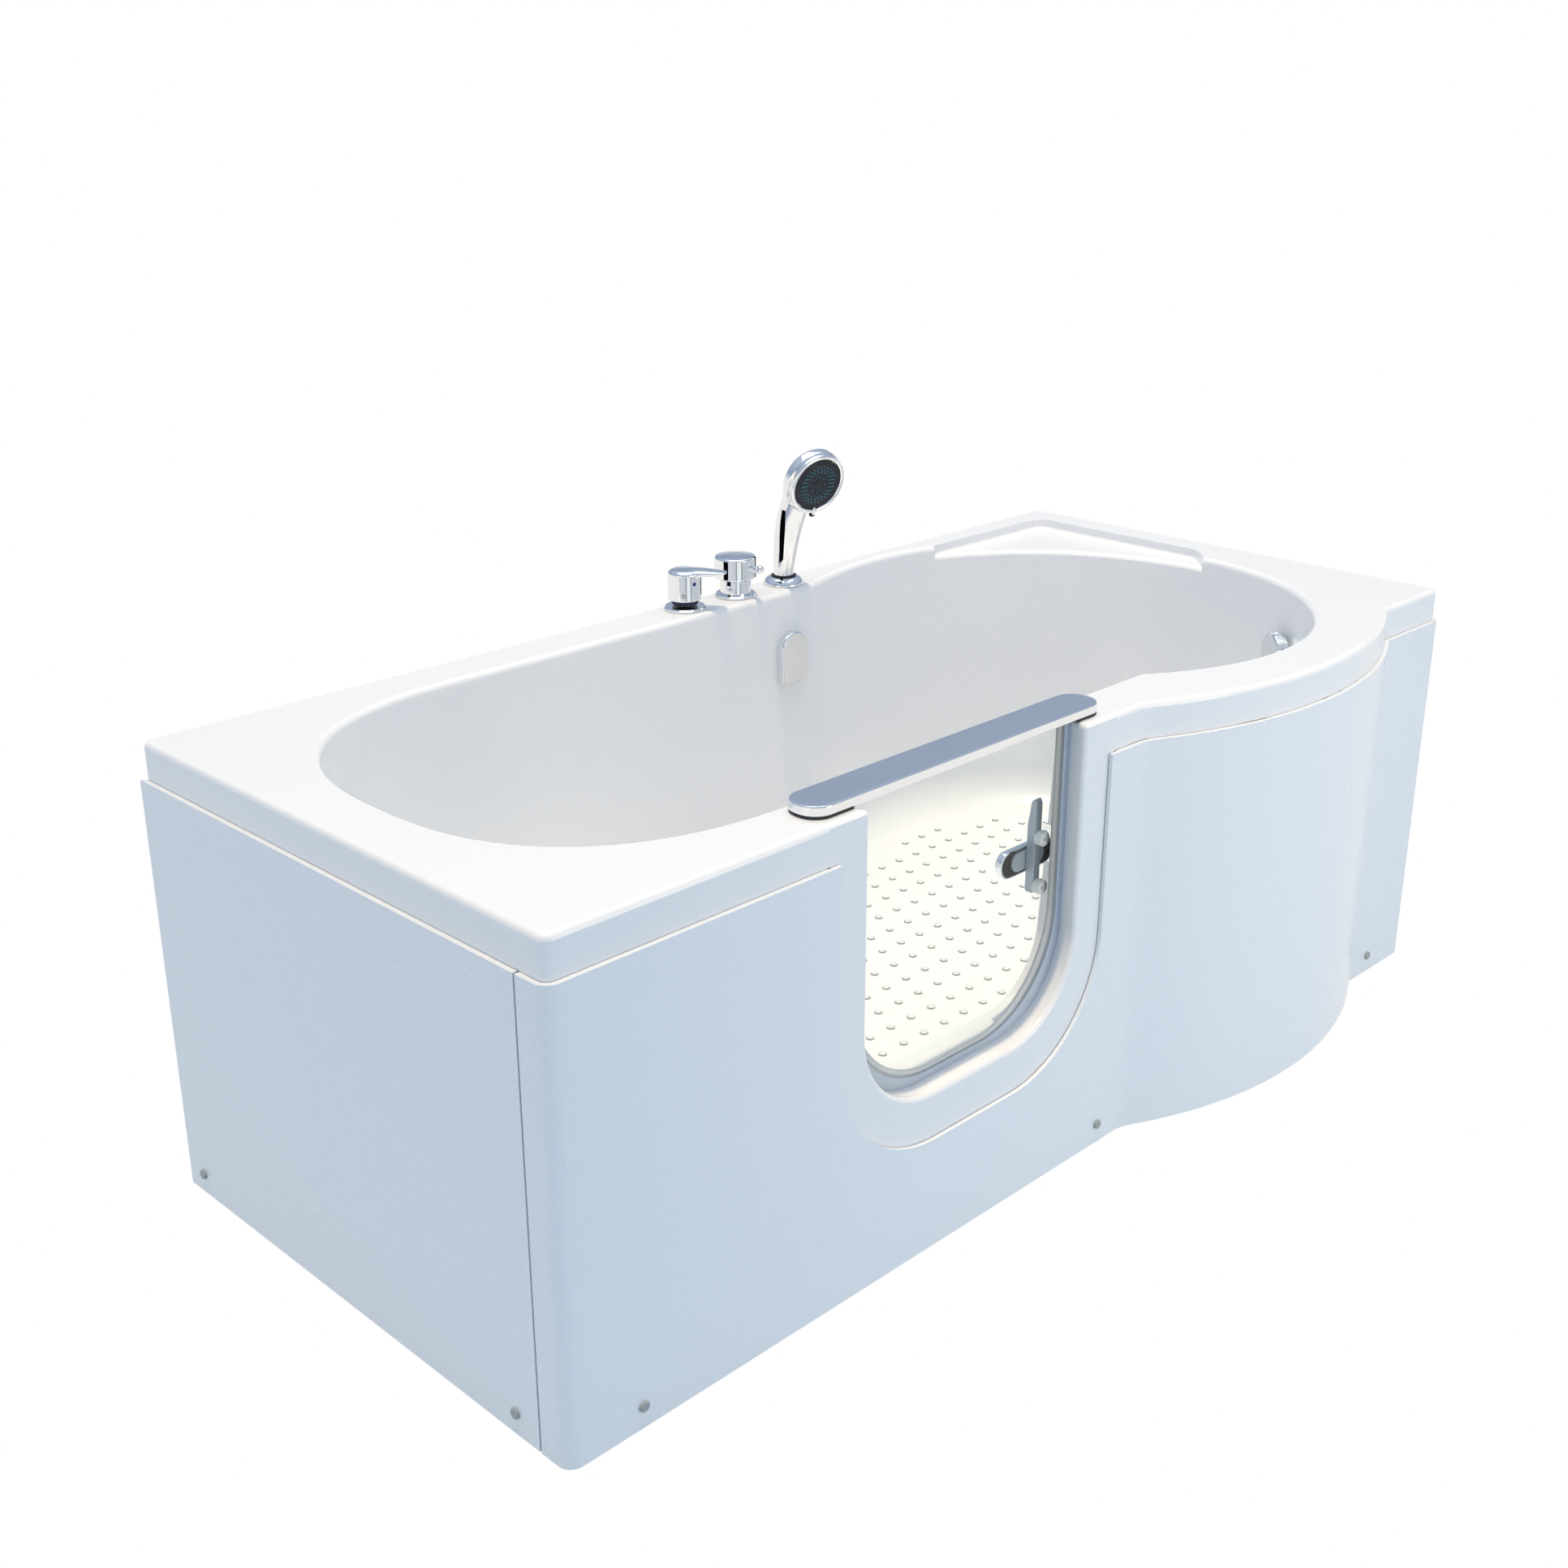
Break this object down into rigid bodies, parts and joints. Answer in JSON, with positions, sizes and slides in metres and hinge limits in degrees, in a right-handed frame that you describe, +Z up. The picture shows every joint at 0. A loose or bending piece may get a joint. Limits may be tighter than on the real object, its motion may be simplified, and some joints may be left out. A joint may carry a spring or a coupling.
{
  "type": "walk-in bath with door",
  "caption": "Long white bath with a bowed wide end, a framed front and end panel, and a glazed inward door with latch; deck mixer, diverter and pull-out hand shower.",
  "frame": {"origin": "middle of the footprint's bounding box, on the floor", "axes": "+X along the bath from the head end to the wide foot end, +Y from the door's side to the tap ledge, +Z up"},
  "size_m": [1.7157, 0.84, 0.8141],
  "materials": {
    "acrylic": "gloss white acrylic",
    "panel": "gloss white panel",
    "satin_metal": "satin anodised",
    "bright_metal": "polished",
    "fixing_steel": "zinc plated",
    "frame_steel": "semi-matt dark grey",
    "board": "raw board",
    "brass": "cast",
    "waste_plastic": "moulded",
    "cap_grey": "moulded",
    "glass": "clear toughened",
    "seal": "soft grey",
    "black_rubber": "matt",
    "black_plastic": "dark",
    "face_grey": "dark grey",
    "nozzle_teal": "soft",
    "dot_violet": "enamel",
    "bar_metal": "satin"
  },
  "bodies": {
    "tub": {"tub_shell": "acrylic", "front_panel": "panel", "end_panel": "panel", "panel_brackets": "fixing_steel", "panel_screws": "cap_grey", "base_board": "board", "frame_rails": "frame_steel", "frame_crossbars": "frame_steel", "frame_posts": "frame_steel", "foot_stems": "fixing_steel", "foot_nuts": "fixing_steel", "foot_pads": "black_rubber", "waste_flange": "bright_metal", "waste_gasket": "black_rubber", "waste_body": "waste_plastic", "waste_trap": "waste_plastic", "overflow_rose": "bright_metal", "overflow_body": "waste_plastic", "overflow_pipe": "waste_plastic", "filler_plate": "bright_metal", "filler_tail": "brass", "mixer_ring": "bright_metal", "mixer_valve": "brass", "diverter_ring": "bright_metal", "diverter_neck": "bright_metal", "diverter_valve": "brass", "link_pipes": "brass", "shower_holder": "bright_metal", "holder_gasket": "black_rubber", "hose_guide": "waste_plastic", "door_profile": "satin_metal", "hinge_brackets": "bright_metal", "hinge_pins": "fixing_steel", "latch_keeper": "bright_metal"},
    "door": {"door_glass": "glass", "door_seal": "seal", "top_rail": "satin_metal", "rail_pads": "black_rubber", "hinge_leaves": "bright_metal", "hinge_screws": "fixing_steel", "latch_bar": "bar_metal", "latch_standoffs": "bar_metal"},
    "latch": {"latch_spindle": "fixing_steel", "latch_lever": "bright_metal", "lever_liner": "black_plastic"},
    "mixer_swivel": {"mixer_ball": "face_grey", "mixer_pivot": "fixing_steel"},
    "mixer_lever": {"mixer_handle": "bright_metal", "mixer_dot": "dot_violet", "mixer_grub_screw": "fixing_steel"},
    "diverter": {"diverter_spindle": "fixing_steel", "diverter_cap": "bright_metal", "diverter_pin": "bright_metal"},
    "hand_shower": {"shower_handle": "bright_metal", "shower_head": "bright_metal"},
    "spray": {"spray_face": "face_grey", "spray_nozzles": "nozzle_teal", "spray_tab": "black_plastic"},
    "knob": {"overflow_knob": "bright_metal"},
    "plug": {"waste_plug": "bright_metal"}
  },
  "joints": [
    {"name": "door_swing", "type": "hinge", "parent": "tub", "child": "door", "pos_m": [-0.4415, -0.281, 0.2], "axis": [0, 0, 1], "range_deg": [0, 90]},
    {"name": "latch_turn", "type": "hinge", "parent": "door", "child": "latch", "pos_m": [-0.044, -0.276, 0.413], "axis": [0, 1, 0], "range_deg": [0, 90]},
    {"name": "mixer_turn", "type": "hinge", "parent": "tub", "child": "mixer_swivel", "pos_m": [-0.02, 0.385, 0.618], "axis": [0, 0, 1], "range_deg": [-45, 45]},
    {"name": "mixer_lift", "type": "hinge", "parent": "mixer_swivel", "child": "mixer_lever", "pos_m": [-0.02, 0.385, 0.618], "axis": [-0.7071, -0.7071, 0], "range_deg": [0, 18]},
    {"name": "diverter_turn", "type": "hinge", "parent": "tub", "child": "diverter", "pos_m": [0.081, 0.385, 0.64], "axis": [0, 0, 1], "range_deg": [-45, 45]},
    {"name": "shower_lift", "type": "slide", "parent": "tub", "child": "hand_shower", "axis": [0, 0, 1], "range_m": [0, 0.25]},
    {"name": "spray_turn", "type": "hinge", "parent": "hand_shower", "child": "spray", "pos_m": [0.16672, 0.29834, 0.765], "axis": [-0.1661, -0.9418, -0.2924], "range_deg": [-25, 25]},
    {"name": "overflow_turn", "type": "hinge", "parent": "tub", "child": "knob", "pos_m": [0.68668, -0.18048, 0.5], "axis": [-0.8007, 0.599, 0], "range_deg": [0, 90]},
    {"name": "plug_lift", "type": "slide", "parent": "tub", "child": "plug", "axis": [0, 0, 1], "range_m": [0, 0.008]}
  ],
  "couplings": [
    {"joint": "plug_lift", "follows": "overflow_turn", "m_per_rad": 0.00509}
  ]
}
